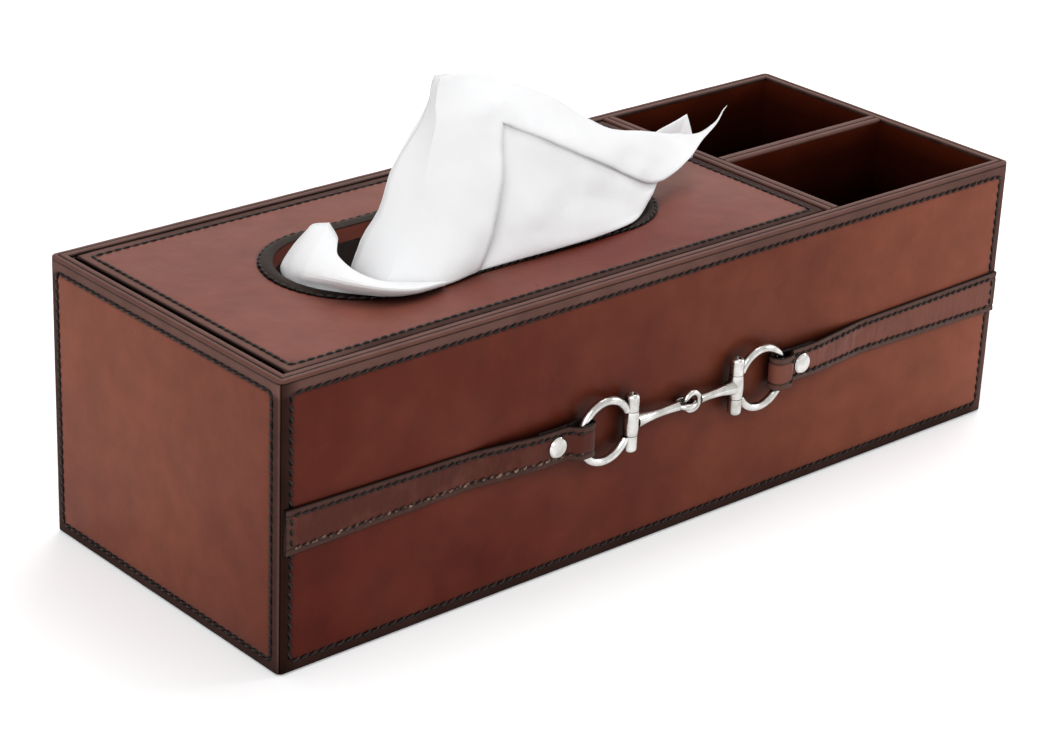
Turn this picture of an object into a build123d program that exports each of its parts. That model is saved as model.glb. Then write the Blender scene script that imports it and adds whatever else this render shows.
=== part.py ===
"""A leather-covered tissue box: a lift-off slotted lid, two pen wells and a jointed snaffle bit in front.

Millimetres. X runs along the box with the wells at +X, the decorated front faces -Y, and Z is up.
The origin is the middle of the underside.
"""

from build123d import *
import os
from math import hypot, sqrt

# ---------------------------------------------------------------- the box
LENGTH = 330.0  # outside, along X
DEPTH = 124.0  # outside, along Y
HEIGHT = 100.0  # from the table to the top of the rim
CORNER_RADIUS = 2.2  # upright corners, seen from above

SKIN = 1.1  # outer leather
WALL_BOARD = 2.6  # board inside the four walls
LINING = 0.9  # leather in the wells, suede in the bay
INNER_BOARD = 3.8  # board inside the partition and the divider
BASE_BOARD = 4.0
FELT = 1.0  # pad under the base
FELT_INSET = 2.5
FOOT_GAP = 0.5  # the outer leather stops this far above the table
RIM_STRIP = 1.2  # binding folded over the tops of the walls
SKIN_EDGE = 0.5  # rounding of a leather panel's edges
STRIP_EDGE = 0.75  # rounding of a binding's top edges

WELL_LENGTH = 80.9  # inside the two wells, along X

# ---------------------------------------------------------------- the lid
LID_DROP = 0.4  # its leather lies this far below the rim
LID_SKIN = 1.2
LID_BOARD = 3.2
LID_LINING = 0.8
LID_BAND = 1.0  # leather round its edges
LID_GAP = 0.4  # at the front and the back
LID_END_GAP = 2.0  # finger gap at the left end
LID_PARTITION_GAP = 0.5
LID_CORNER = 1.5
LEDGE_WIDTH = 4.0  # strips that carry the lid
LEDGE_HEIGHT = 4.0

SLOT_RADIUS = 26.2  # inside the rolled binding
SLOT_STRAIGHT = 93.0  # distance between the centres of the round ends
SLOT_BINDING_WIDTH = 4.4
SLOT_BINDING_HEIGHT = 0.9  # at its crown
SLOT_BINDING_SIDE = 0.35  # at its two edges
SLOT_BINDING_LAP = 0.2  # the binding stands in front of the wall lining
SLOT_WALL = 1.0

# ---------------------------------------------------------------- the tissues
STACK_END_CLEAR = 12.0  # from the pack to the ends of the bay
STACK_SIDE_CLEAR = 4.9
STACK_HEADROOM = 30.5  # from the pack to the underside of the lid
STACK_CORNER = 4.0
SHEET = 1.2  # the pulled sheet with its layers and small folds
SHEET_TOP = 60.0  # above the rim
SHEET_LEVELS = (0.42, 1.0)  # heights of its sections, as shares of that
CURL_LEVELS = (-0.05, 0.2)
SHEET_CLEAR = 0.3

# ---------------------------------------------------------------- straps and bit
STRAP = 1.2  # leather of the straps
STRAP_LEVEL = 49.6  # height of their centre line above the table
STRAP_WIDE = 15.5  # at the ends of the box
STRAP_NARROW = 12.0  # at the loops
STRAP_END_INSET = 1.6  # from the ends of the box
STRAP_LIFT_START = 34.0  # how far before the rivet the strap leaves the face
STRAP_TAIL = 7.0  # the folded end runs this far past the rivet
STRAP_COVER = 1.0  # the front layer stays lifted this far past the folded end
STRAP_SEAM = 0.1  # the layers meet this far in front of the back of the loop
STRAP_BENDS = (40.0, 20.0, 2.0, 3.0)  # from the face to the ring
STRAP_TAIL_BENDS = (20.0, 20.0)
LOOP_ROUNDNESS = 0.98  # the fold round the ring, as a share of a full half round
STRAP_PARTING = 0.06  # between the two layers at the rivet
RIVET_STANDOFF = 9.9  # from the wire of a ring to the middle of its rivet
RIVET_RADIUS = 3.65
RIVET_LAND = 0.9  # flat leather left round the rivet's head
RIVET_HEAD = 0.9
RIVET_SHANK = 1.5
RIVET_CAP = 2.8
RIVET_CAP_HEIGHT = 0.7
RIVET_CLEAR = 0.1
RIVET_BEVEL = 0.45

BIT_STANDOFF = 4.6  # centre plane of the bit, in front of the leather
RING_RADIUS = 10.7  # centre line of a ring
RING_WIRE = 1.5
RING_PLAY = 0.55  # between a ring and its strap loop
HINGE_X = 24.4  # line of a hinge pin from the middle of the box
KNUCKLE_RADIUS = 2.45
KNUCKLE_LENGTH = 6.0
KNUCKLE_DOME = 1.35  # rounding of its outer end
KNUCKLE_SEAT = 0.875  # where the knuckles cut the ring, as a share of its radius
BARREL_LENGTH = 8.6
BARREL_CROWN = 0.3  # the barrel is this much fuller at its middle
KNUCKLE_GAP = 0.2
PIN_RADIUS = 1.1
PIN_CLEAR = 0.05
PIN_SEAT_CLEAR = 0.02
PIN_SHORT = 0.5  # the pin ends this far inside a knuckle's dome
EYE_RADIUS = 3.1  # centre line of a linked eye
EYE_WIRE = 1.05
EYE_PLAY = 0.8  # free movement of the two linked eyes
LINK_X = 2.0  # where the eyes meet
ARM_ROOT = 2.75  # radii of an arm at its barrel, at its thinnest and at its eye
ARM_WAIST = 1.5
ARM_NECK = 1.75
ARM_SINK = 0.6  # the shank runs this far into its barrel
ARM_WAIST_SHARE = 0.35  # place of the thinnest point, from the eye to the barrel
NECK_SHARE = 0.3  # the shank starts this share of the eye's wire outside its centre line

# ---------------------------------------------------------------- what follows from them
half_length = LENGTH / 2
half_depth = DEPTH / 2
wall = SKIN + WALL_BOARD + LINING
inner_wall = INNER_BOARD + 2 * LINING
rim_under = HEIGHT - RIM_STRIP
board_x = half_length - SKIN  # outside of the wall boards
board_y = half_depth - SKIN
lining_x = board_x - WALL_BOARD  # outside of the linings
lining_y = board_y - WALL_BOARD
room_x = half_length - wall  # inside of the linings
room_y = half_depth - wall
base_top = FELT + BASE_BOARD
floor_top = base_top + LINING
partition_right = room_x - WELL_LENGTH
partition_left = partition_right - inner_wall
lid_top = HEIGHT - LID_DROP
lid_left = -room_x + LID_END_GAP
lid_right = partition_left - LID_PARTITION_GAP
lid_y = room_y - LID_GAP
lid_skin_under = lid_top - LID_SKIN
lid_board_under = lid_skin_under - LID_BOARD
lid_under = lid_board_under - LID_LINING
slot_x = (lid_left + lid_right) / 2
slot_reach = SLOT_STRAIGHT / 2 + SLOT_RADIUS
stack_top = lid_under - STACK_HEADROOM
bit_y = -half_depth - BIT_STANDOFF
ring_x = HINGE_X + KNUCKLE_RADIUS + KNUCKLE_SEAT * RING_RADIUS
rivet_x = ring_x + RING_RADIUS + RIVET_STANDOFF
knuckle_start = BARREL_LENGTH / 2 + KNUCKLE_GAP
knuckle_end = knuckle_start + KNUCKLE_LENGTH

MITRE = 0.01  # how near a point has to be to count as on a face


def block(x0, x1, y0, y1, z0, z1):
    """A square-edged board between two corners."""
    return Pos((x0 + x1) / 2, (y0 + y1) / 2, (z0 + z1) / 2) * Box(x1 - x0, y1 - y0, z1 - z0)


def prism(points, z0, z1):
    """An upright solid with a polygon plan."""
    return extrude(Plane.XY.offset(z0) * make_face(Polyline(*points, close=True)), amount=z1 - z0)


def envelope(z0, z1):
    """The box's outer form, with its rounded upright corners."""
    plan = RectangleRounded(LENGTH, DEPTH, CORNER_RADIUS)
    return extrude(Plane.XY.offset(z0) * plan, amount=z1 - z0)


def mitred_wall(side, thickness, z0, z1):
    """One wall's outer layer of a given thickness, mitred to its neighbours at the box's corners."""
    out_x, out_y = half_length, half_depth
    in_x, in_y = out_x - thickness, out_y - thickness
    plans = {
        "front": [(-out_x, -out_y), (out_x, -out_y), (in_x, -in_y), (-in_x, -in_y)],
        "back": [(out_x, out_y), (-out_x, out_y), (-in_x, in_y), (in_x, in_y)],
        "left": [(-out_x, out_y), (-out_x, -out_y), (-in_x, -in_y), (-in_x, in_y)],
        "right": [(out_x, -out_y), (out_x, out_y), (in_x, in_y), (in_x, -in_y)],
    }
    return prism(plans[side], z0, z1) & envelope(z0, z1)


def on_outside(point):
    """Whether a point lies on the box's outer faces."""
    past_x = max(abs(point.X) - (half_length - CORNER_RADIUS), 0)
    past_y = max(abs(point.Y) - (half_depth - CORNER_RADIUS), 0)
    return hypot(past_x, past_y) > CORNER_RADIUS - MITRE


def on_mitre(point):
    """Whether a point lies on a 45 degree line in from a corner."""
    return abs((half_length - abs(point.X)) - (half_depth - abs(point.Y))) < MITRE


def outer_edges(solid, level):
    """The edges of an outer face at one height."""
    edges = [e for e in solid.edges() if abs((e @ 0.5).Z - level) < MITRE]
    return [e for e in edges if on_outside(e @ 0.5)]


def seam_edges(solid):
    """The upright edges where a wall's leather meets its neighbour's."""
    upright = [e for e in solid.edges() if abs((e % 0.5).Z) > 1 - MITRE]
    return [e for e in upright if on_outside(e @ 0.5) and on_mitre(e @ 0.5)]


# ---------------------------------------------------------------- carcass boards


def carcass():
    """The glued boards that give the box its strength."""
    parts = {
        "base_board": block(-lining_x, lining_x, -lining_y, lining_y, FELT, base_top),
        "front_board": block(-board_x, board_x, -board_y, -lining_y, FELT, rim_under),
        "back_board": block(-board_x, board_x, lining_y, board_y, FELT, rim_under),
        "left_end_board": block(-board_x, -lining_x, -lining_y, lining_y, FELT, rim_under),
        "right_end_board": block(lining_x, board_x, -lining_y, lining_y, FELT, rim_under),
        "partition_board": block(
            partition_left + LINING, partition_right - LINING, -lining_y, lining_y, base_top, rim_under
        ),
        "divider_board": block(
            partition_right - LINING, lining_x, -INNER_BOARD / 2, INNER_BOARD / 2, base_top, rim_under
        ),
    }
    felt = RectangleRounded(LENGTH - 2 * FELT_INSET, DEPTH - 2 * FELT_INSET, CORNER_RADIUS)
    parts["base_felt"] = extrude(felt, amount=FELT)
    return parts


# ---------------------------------------------------------------- outer leather and rim


def outer_leather():
    """Four panels of leather, mitred at the corners, with rolled edges."""
    parts = {}
    for side, name in zip(
        ("front", "back", "left", "right"),
        ("front_leather", "back_leather", "left_end_leather", "right_end_leather"),
    ):
        panel = mitred_wall(side, SKIN, FOOT_GAP, rim_under)
        edges = outer_edges(panel, FOOT_GAP) + outer_edges(panel, rim_under) + seam_edges(panel)
        parts[name] = fillet(edges, SKIN_EDGE)
    return parts


def rim_bindings():
    """Strips over the tops of the walls, mitred at the corners, and two over the inner walls."""
    parts = {}
    for side in ("front", "back", "left", "right"):
        strip = mitred_wall(side, wall, rim_under, HEIGHT)
        top = [e for e in strip.edges() if abs((e @ 0.5).Z - HEIGHT) < MITRE]
        long_edges = [e for e in top if not on_mitre(e @ 0.5)]
        parts[f"rim_binding_{side}"] = fillet(long_edges, STRIP_EDGE)
    across = block(partition_left, partition_right, -room_y, room_y, rim_under, HEIGHT)
    along = block(partition_right, room_x, -inner_wall / 2, inner_wall / 2, rim_under, HEIGHT)
    for name, strip, axis in (("partition_binding", across, Axis.Y), ("divider_binding", along, Axis.X)):
        top = strip.edges().filter_by(axis).group_by(Axis.Z)[-1]
        parts[name] = fillet(top, STRIP_EDGE)
    return parts


# ---------------------------------------------------------------- linings


def lined_room(prefix, x0, x1, y0, y1, low, high):
    """Four wall linings and a floor for one compartment, given the faces of its bare boards."""
    inside_x0, inside_x1 = x0 + LINING, x1 - LINING
    return {
        f"{prefix}_lining_front": block(x0, x1, y0, y0 + LINING, low, high),
        f"{prefix}_lining_back": block(x0, x1, y1 - LINING, y1, low, high),
        f"{prefix}_lining_left": block(x0, inside_x0, y0 + LINING, y1 - LINING, low, high),
        f"{prefix}_lining_right": block(inside_x1, x1, y0 + LINING, y1 - LINING, low, high),
        f"{prefix}_floor": block(
            inside_x0, inside_x1, y0 + LINING, y1 - LINING, low, low + LINING
        ),
    }


def linings():
    """The suede of the tissue bay and the leather of the two wells."""
    bay_end = partition_left + LINING
    well_start = partition_right - LINING
    half_divider = INNER_BOARD / 2
    parts = lined_room("bay", -lining_x, bay_end, -lining_y, lining_y, base_top, rim_under)
    parts |= lined_room("front_well", well_start, lining_x, -lining_y, -half_divider, base_top, rim_under)
    parts |= lined_room("rear_well", well_start, lining_x, half_divider, lining_y, base_top, rim_under)
    return parts


def lid_ledges():
    """Four strips round the bay for the lid to rest on."""
    low = lid_under - LEDGE_HEIGHT
    inner_left, inner_right = -room_x + LEDGE_WIDTH, partition_left - LEDGE_WIDTH
    inner_y = room_y - LEDGE_WIDTH
    return {
        "lid_ledge_front": block(-room_x, partition_left, -room_y, -inner_y, low, lid_under),
        "lid_ledge_back": block(-room_x, partition_left, inner_y, room_y, low, lid_under),
        "lid_ledge_left": block(-room_x, inner_left, -inner_y, inner_y, low, lid_under),
        "lid_ledge_right": block(inner_right, partition_left, -inner_y, inner_y, low, lid_under),
    }


# ---------------------------------------------------------------- lid


def stadium(radius, z0, z1):
    """A solid of the slot's shape, with a given radius at its round ends."""
    plan = SlotCenterToCenter(SLOT_STRAIGHT, 2 * radius)
    return extrude(Pos(slot_x, 0, z0) * plan, amount=z1 - z0)


def lid_slab(inset, z0, z1):
    """A layer of the lid, drawn in from its outer edge."""
    length, depth = lid_right - lid_left - 2 * inset, 2 * (lid_y - inset)
    plan = RectangleRounded(length, depth, LID_CORNER) if inset == 0 else Rectangle(length, depth)
    return extrude(Pos((lid_left + lid_right) / 2, 0, z0) * plan, amount=z1 - z0)


def slot_binding():
    """The rolled strip round the slot: one crowned section, run along the sides and turned round the ends."""
    inner, outer = SLOT_RADIUS, SLOT_RADIUS + SLOT_BINDING_WIDTH
    side, crown = lid_top + SLOT_BINDING_SIDE, lid_top + SLOT_BINDING_HEIGHT
    section = make_face(
        [
            Line((inner, lid_top), (inner, side)),
            ThreePointArc((inner, side), ((inner + outer) / 2, crown), (outer, side)),
            Line((outer, side), (outer, lid_top)),
            Line((outer, lid_top), (inner, lid_top)),
        ]
    )
    run = extrude(Plane.YZ * section, amount=SLOT_STRAIGHT / 2, both=True)
    turn = Pos(0, SLOT_STRAIGHT / 2, 0) * revolve(Plane.XZ * section, axis=Axis.Z, revolution_arc=180)
    half = run + Rot(0, 0, -90) * turn
    return Pos(slot_x, 0, 0) * (half + Rot(0, 0, 180) * half)


def lid():
    """The lift-off lid: board, leather, edge band, lining, slot wall and rolled slot binding."""
    hole_radius = SLOT_RADIUS + SLOT_BINDING_LAP + SLOT_WALL
    hole = stadium(hole_radius, lid_under, lid_top)
    leather = lid_slab(0, lid_skin_under, lid_top) - hole
    rim = [
        e
        for e in leather.edges()
        if abs((e @ 0.5).Z - lid_top) < MITRE and abs(abs((e @ 0.5).Y) - lid_y) < LID_CORNER
    ]
    rim += [
        e
        for e in leather.edges()
        if abs((e @ 0.5).Z - lid_top) < MITRE
        and min(abs((e @ 0.5).X - lid_left), abs((e @ 0.5).X - lid_right)) < MITRE
    ]
    band = lid_slab(0, lid_under, lid_skin_under) - lid_slab(LID_BAND, lid_under, lid_skin_under)
    wall_ring = stadium(hole_radius, lid_under, lid_top)
    wall_ring -= stadium(SLOT_RADIUS + SLOT_BINDING_LAP, lid_under, lid_top)
    return {
        "lid_leather": fillet(rim, SKIN_EDGE),
        "lid_board": lid_slab(LID_BAND, lid_board_under, lid_skin_under) - hole,
        "lid_lining": lid_slab(LID_BAND, lid_under, lid_board_under) - hole,
        "lid_edge_band": band,
        "slot_wall_lining": wall_ring,
        "slot_binding": slot_binding(),
    }


# ---------------------------------------------------------------- tissues


def set_off(points, distance):
    """A chain moved to its left, so that it runs at a set distance from the first."""
    normals = []
    for (x0, y0), (x1, y1) in zip(points[:-1], points[1:]):
        length = hypot(x1 - x0, y1 - y0)
        normals.append(((y0 - y1) / length, (x1 - x0) / length))
    moved = []
    for (x, y), before, after in zip(points, normals[:1] + normals, normals + normals[-1:]):
        across = before[0] + after[0], before[1] + after[1]
        share = 2 * distance / (across[0] ** 2 + across[1] ** 2)
        moved.append((x + share * across[0], y + share * across[1]))
    return moved


def ribbon(points, bows, level):
    """A thin closed section of the sheet: a chain through the points and a second one behind it.

    Each bow is how far a stretch of the chain swells to its left; a bow of 0 is a straight stretch.
    """
    chains = []
    for line in (points, set_off(points, SHEET)):
        edges = []
        for (x0, y0), (x1, y1), bow in zip(line[:-1], line[1:], bows):
            length = hypot(x1 - x0, y1 - y0)
            middle = ((x0 + x1) / 2 - bow * (y1 - y0) / length, (y0 + y1) / 2 + bow * (x1 - x0) / length)
            edges.append(ThreePointArc((x0, y0), middle, (x1, y1)) if bow else Line((x0, y0), (x1, y1)))
        chains.append(edges)
    front, back = chains
    caps = [Line(front[0] @ 0, back[0] @ 0), Line(front[-1] @ 1, back[-1] @ 1)]
    return Plane.XY.offset(level) * make_face(front + back + caps)


def in_slot(shares):
    """Points in millimetres, from shares of the slot's half length and half width about its middle."""
    return [(slot_x + slot_reach * x, SLOT_RADIUS * y) for x, y in shares]


def standing_sheet():
    """The gathered tail and the standing folds, before their outline is cut."""
    tail = in_slot([(-0.21, -0.31), (-0.05, -0.42), (0.12, -0.34), (0.28, -0.46), (0.45, -0.31)])
    mouth = in_slot([(-0.82, -0.58), (-0.46, -0.81), (-0.08, -0.79), (0.39, -0.81), (0.91, -0.54)])
    middle = in_slot([(-0.68, 0.11), (-0.27, -0.31), (0.16, -0.50), (0.28, 0.04), (1.74, -0.27)])
    crest = in_slot([(-0.57, 0.08), (-0.24, -0.11), (0.09, -0.23), (0.34, 0.0), (1.68, 0.0)])
    straight = [0] * (len(tail) - 1)
    half_way, top = (HEIGHT + share * SHEET_TOP for share in SHEET_LEVELS)
    return loft(
        [
            ribbon(tail, straight, stack_top + SHEET_CLEAR),
            ribbon(mouth, straight, lid_under),
            ribbon(middle, (1.5, -1.5, 1, 4), half_way),
            ribbon(crest, (1.5, -1, 1, 2), top),
        ],
        ruled=True,
    )


def sheet_outline():
    """What is left of the standing sheet, seen from the front: its sloping crest and its pointed corner."""
    shares = [
        (-0.93, -0.05),
        (-0.71, 0.03),
        (-0.58, 0.37),
        (-0.47, 0.57),
        (-0.32, 0.75),
        (-0.25, 1.0),
        (0.01, 0.93),
        (0.30, 0.82),
        (0.47, 0.67),
        (0.75, 0.47),
        (1.13, 0.33),
        (1.33, 0.40),
        (1.37, 0.27),
        (1.60, 0.37),
        (1.44, 0.18),
        (1.22, 0.10),
        (0.99, 0.06),
        (0.86, -0.03),
    ]
    above = [(slot_x + slot_reach * x, HEIGHT + SHEET_TOP * z) for x, z in shares]
    outline = [(above[0][0], stack_top), *above, (above[-1][0], stack_top)]
    return extrude(Plane.XZ * make_face(Polyline(*outline, close=True)), amount=half_depth, both=True)


def curled_corner():
    """The near corner of the sheet, curled over at the left end of the slot."""
    low = [(-0.49, -0.69), (-0.68, -0.71), (-0.86, -0.58), (-0.94, -0.16), (-0.94, 0.34), (-0.86, 0.64)]
    high = [(-0.63, -0.50), (-0.74, -0.50), (-0.80, -0.20), (-0.79, 0.18), (-0.71, 0.49), (-0.58, 0.64)]
    straight = [0] * (len(low) - 1)
    return loft(
        [
            ribbon(in_slot(low)[::-1], straight, HEIGHT + CURL_LEVELS[0] * SHEET_TOP),
            ribbon(in_slot(high)[::-1], straight, HEIGHT + CURL_LEVELS[1] * SHEET_TOP),
        ]
    )


def tissues():
    """The flat pack on the floor of the bay and the sheet drawn up from it through the slot."""
    length = partition_left + room_x - 2 * STACK_END_CLEAR
    depth = 2 * (room_y - STACK_SIDE_CLEAR)
    plan = Pos((partition_left - room_x) / 2, 0, floor_top) * RectangleRounded(length, depth, STACK_CORNER)
    pack = extrude(plan, amount=stack_top - floor_top)
    sheet = (standing_sheet() & sheet_outline()) + curled_corner()
    return {"tissue_stack": pack, "pulled_tissue": sheet}


# ---------------------------------------------------------------- straps


def ring_reach(z):
    """How far from the middle of the box a ring's outer centre line lies, at a height from its centre."""
    return ring_x + sqrt(RING_RADIUS**2 - z**2)


def strap_path():
    """A strap seen from above, as distances from the middle of the box and heights off the face."""
    flat = STRAP / 2
    turn = RING_WIRE + RING_PLAY + STRAP / 2
    edge = STRAP_NARROW / 2
    slant = RING_WIRE * RING_RADIUS / (ring_reach(edge) - ring_x)
    tip = ring_reach(edge) - slant - RING_PLAY - STRAP / 2
    past_ring = ring_reach(0) + RING_WIRE + RING_PLAY
    seam = BIT_STANDOFF - turn + STRAP + STRAP_SEAM
    front_leg, back_leg = seam + (STRAP + STRAP_PARTING) / 2, seam - (STRAP + STRAP_PARTING) / 2
    lands = rivet_x - RIVET_RADIUS - RIVET_LAND
    points = [
        (half_length - STRAP_END_INSET, flat),
        (rivet_x + STRAP_LIFT_START, flat),
        (rivet_x + STRAP_TAIL + STRAP_COVER, front_leg),
        (lands, front_leg),
        (past_ring, BIT_STANDOFF + turn),
        (tip, BIT_STANDOFF + turn),
        (tip, BIT_STANDOFF - turn),
        (past_ring, BIT_STANDOFF - turn),
        (lands, back_leg),
        (rivet_x + STRAP_TAIL, back_leg),
    ]
    radii = [*STRAP_BENDS, LOOP_ROUNDNESS * turn, LOOP_ROUNDNESS * turn, *STRAP_TAIL_BENDS]
    return points, radii, seam


def strap(side):
    """One strap: it tapers along the face, folds round its ring and is riveted to itself."""
    points, radii, seam = strap_path()
    line = FilletPolyline(*[(side * x, -half_depth - y) for x, y in points], radius=radii)
    profile = make_face(line.offset_2d(STRAP / 2, kind=Kind.ARC, side=Side.BOTH))
    leather = extrude(Plane.XY.offset(STRAP_LEVEL) * profile, amount=STRAP_WIDE, both=True)
    end, loop = half_length - STRAP_END_INSET, rivet_x
    shape = [
        (side * end, STRAP_LEVEL - STRAP_WIDE / 2),
        (side * loop, STRAP_LEVEL - STRAP_NARROW / 2),
        (0, STRAP_LEVEL - STRAP_NARROW / 2),
        (0, STRAP_LEVEL + STRAP_NARROW / 2),
        (side * loop, STRAP_LEVEL + STRAP_NARROW / 2),
        (side * end, STRAP_LEVEL + STRAP_WIDE / 2),
    ]
    face = Plane.XZ.offset(half_depth) * make_face(Polyline(*shape, close=True))
    leather = leather & extrude(face, amount=4 * BIT_STANDOFF)
    hole = Pos(side * rivet_x, -half_depth, STRAP_LEVEL) * Rot(90, 0, 0) * Cylinder(
        RIVET_SHANK + RIVET_CLEAR, 4 * BIT_STANDOFF
    )
    return leather - hole


def rivet(side):
    """A flat-headed rivet through the two layers of a strap, with its cap behind."""
    _, _, seam = strap_path()
    grip = STRAP + STRAP_PARTING / 2
    back, front = seam - grip, seam + grip
    profile = make_face(
        Polyline(
            (0, back - RIVET_CAP_HEIGHT),
            (RIVET_CAP, back - RIVET_CAP_HEIGHT),
            (RIVET_CAP, back),
            (RIVET_SHANK, back),
            (RIVET_SHANK, front),
            (RIVET_RADIUS, front),
            (RIVET_RADIUS, front + RIVET_HEAD - RIVET_BEVEL),
            (RIVET_RADIUS - RIVET_BEVEL, front + RIVET_HEAD),
            (0, front + RIVET_HEAD),
            close=True,
        )
    )
    turned = revolve(profile, axis=Axis.Y)
    return Pos(side * rivet_x, -half_depth, STRAP_LEVEL) * Rot(180, 0, 0) * turned


# ---------------------------------------------------------------- snaffle bit


def upright_bore(side, radius):
    """A drill down a hinge line."""
    return Pos(side * HINGE_X, bit_y, STRAP_LEVEL) * Cylinder(radius, 4 * knuckle_end)


def ring(side):
    """A round ring cast with the two knuckles of its hinge, bored for the pin."""
    to_knuckle = KNUCKLE_SEAT * RING_RADIUS
    meet = sqrt(RING_RADIUS**2 - to_knuckle**2)
    opening = Vector(to_knuckle, meet, 0).get_angle(Vector(1, 0, 0))
    turn = 180 + opening if side > 0 else opening
    wire = Rot(90, 0, 0) * Rot(0, 0, turn) * Torus(
        RING_RADIUS, RING_WIRE, major_angle=360 - 2 * opening
    )
    metal = Pos(side * ring_x, bit_y, STRAP_LEVEL) * wire
    for end in (-1, 1):
        seat = (side * (ring_x - to_knuckle), bit_y, STRAP_LEVEL + end * meet)
        metal += Pos(*seat) * Sphere(RING_WIRE)
        middle = STRAP_LEVEL + end * (knuckle_start + KNUCKLE_LENGTH / 2)
        knuckle = Pos(side * HINGE_X, bit_y, middle) * Cylinder(KNUCKLE_RADIUS, KNUCKLE_LENGTH)
        tip = knuckle.edges().filter_by(GeomType.CIRCLE).sort_by(Axis.Z)[-1 if end > 0 else 0]
        metal += fillet(tip, KNUCKLE_DOME)
    slot = Pos(side * HINGE_X, bit_y, STRAP_LEVEL) * Box(
        4 * KNUCKLE_RADIUS, 4 * KNUCKLE_RADIUS, 2 * knuckle_start
    )
    return metal - slot - upright_bore(side, PIN_RADIUS + PIN_SEAT_CLEAR)


def hinge_pin(side):
    """The pin of one hinge, its ends just inside the knuckles' domes."""
    length = 2 * (knuckle_end - PIN_SHORT)
    return Pos(side * HINGE_X, bit_y, STRAP_LEVEL) * Cylinder(PIN_RADIUS, length)


def arm(side):
    """A mouthpiece arm: a crowned barrel on the pin, a waisted shank and an eye round the other arm's."""
    half = BARREL_LENGTH / 2
    barrel = make_face(
        [
            Line((0, -half), (KNUCKLE_RADIUS, -half)),
            ThreePointArc(
                (KNUCKLE_RADIUS, -half), (KNUCKLE_RADIUS + BARREL_CROWN, 0), (KNUCKLE_RADIUS, half)
            ),
            Line((KNUCKLE_RADIUS, half), (0, half)),
            Line((0, half), (0, -half)),
        ]
    )
    centres = 2 * EYE_RADIUS - 2 * EYE_WIRE - EYE_PLAY
    eye_x = LINK_X + side * centres / 2
    neck = eye_x + side * (EYE_RADIUS + NECK_SHARE * EYE_WIRE)
    root = side * (HINGE_X - KNUCKLE_RADIUS + ARM_SINK)
    waist = neck + ARM_WAIST_SHARE * (root - neck)
    shank = make_face(
        [
            Line((neck, 0), (neck, ARM_NECK)),
            Spline((neck, ARM_NECK), (waist, ARM_WAIST), (root, ARM_ROOT)),
            Line((root, ARM_ROOT), (root, 0)),
            Line((root, 0), (neck, 0)),
        ]
    )
    eye = Torus(EYE_RADIUS, EYE_WIRE)
    eye = Rot(90, 0, 0) * eye if side > 0 else eye
    metal = Pos(side * HINGE_X, 0, 0) * revolve(Plane.XZ * barrel, axis=Axis.Z)
    metal += revolve(shank, axis=Axis.X)
    metal = Pos(0, bit_y, STRAP_LEVEL) * (metal + Pos(eye_x, 0, 0) * eye)
    return metal - upright_bore(side, PIN_RADIUS + PIN_CLEAR)


def front_hardware():
    """Straps, rivets and the jointed bit, left and right."""
    parts = {}
    for side, name in ((-1, "left"), (1, "right")):
        parts[f"strap_{name}"] = strap(side)
        parts[f"strap_rivet_{name}"] = rivet(side)
        parts[f"bit_ring_{name}"] = ring(side)
        parts[f"hinge_pin_{name}"] = hinge_pin(side)
        parts[f"bit_arm_{name}"] = arm(side)
    return parts


def main():
    """Writes every piece to its own file."""
    parts = carcass() | outer_leather() | rim_bindings() | linings() | lid_ledges()
    parts |= lid() | tissues() | front_hardware()
    os.makedirs("parts", exist_ok=True)
    for name, shape in parts.items():
        export_step(shape, f"parts/{name}.step")
    print(len(parts), "pieces")


main()
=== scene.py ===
"""The look of a stitched leather tissue box: glazed leather, thread, straps, a snaffle bit and tissues.

Everything is in metres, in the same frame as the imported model.
"""

from math import atan2, ceil, cos, hypot, pi, radians, sin, tan

import bmesh
import bpy
import numpy as np
from mathutils import Matrix, Vector, noise


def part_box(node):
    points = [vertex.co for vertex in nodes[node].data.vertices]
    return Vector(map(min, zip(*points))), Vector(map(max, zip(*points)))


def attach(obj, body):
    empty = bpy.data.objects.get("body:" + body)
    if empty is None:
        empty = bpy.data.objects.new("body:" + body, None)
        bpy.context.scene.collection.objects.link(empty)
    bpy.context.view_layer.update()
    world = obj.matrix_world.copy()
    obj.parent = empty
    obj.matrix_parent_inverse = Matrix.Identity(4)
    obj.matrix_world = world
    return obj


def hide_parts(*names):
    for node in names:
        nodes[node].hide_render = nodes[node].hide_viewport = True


MM = 0.001
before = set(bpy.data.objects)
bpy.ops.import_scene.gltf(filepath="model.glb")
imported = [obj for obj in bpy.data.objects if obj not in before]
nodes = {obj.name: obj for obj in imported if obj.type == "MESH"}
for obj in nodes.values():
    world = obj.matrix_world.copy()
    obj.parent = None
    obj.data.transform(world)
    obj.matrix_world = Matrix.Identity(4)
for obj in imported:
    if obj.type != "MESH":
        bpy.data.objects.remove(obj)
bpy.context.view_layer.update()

# ---- sizes read from the frame
half_length = max(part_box(name)[1].x for name in ("front_leather", "right_end_leather"))
half_depth = max(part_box(name)[1].y for name in ("right_end_leather", "back_leather"))
panel_low, panel_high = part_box("front_leather")[0].z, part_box("front_leather")[1].z
rim_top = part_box("rim_binding_front")[1].z
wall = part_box("rim_binding_front")[1].y + half_depth
skin = 1.1 * MM  # the thickness of the outer leather
corner = 2.2 * MM  # the radius of the case's upright corners
lid_low, lid_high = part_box("lid_leather")
slot_low, slot_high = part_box("slot_binding")
slot_x = (slot_low.x + slot_high.x) / 2
slot_outer = (slot_high.y - slot_low.y) / 2
slot_straight = (slot_high.x - slot_low.x) / 2 - slot_outer
slot_hole = slot_outer - 3.2 * MM  # where the lid's leather ends, under the binding
level = (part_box("strap_left")[0].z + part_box("strap_left")[1].z) / 2  # the middle height of the straps

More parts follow.
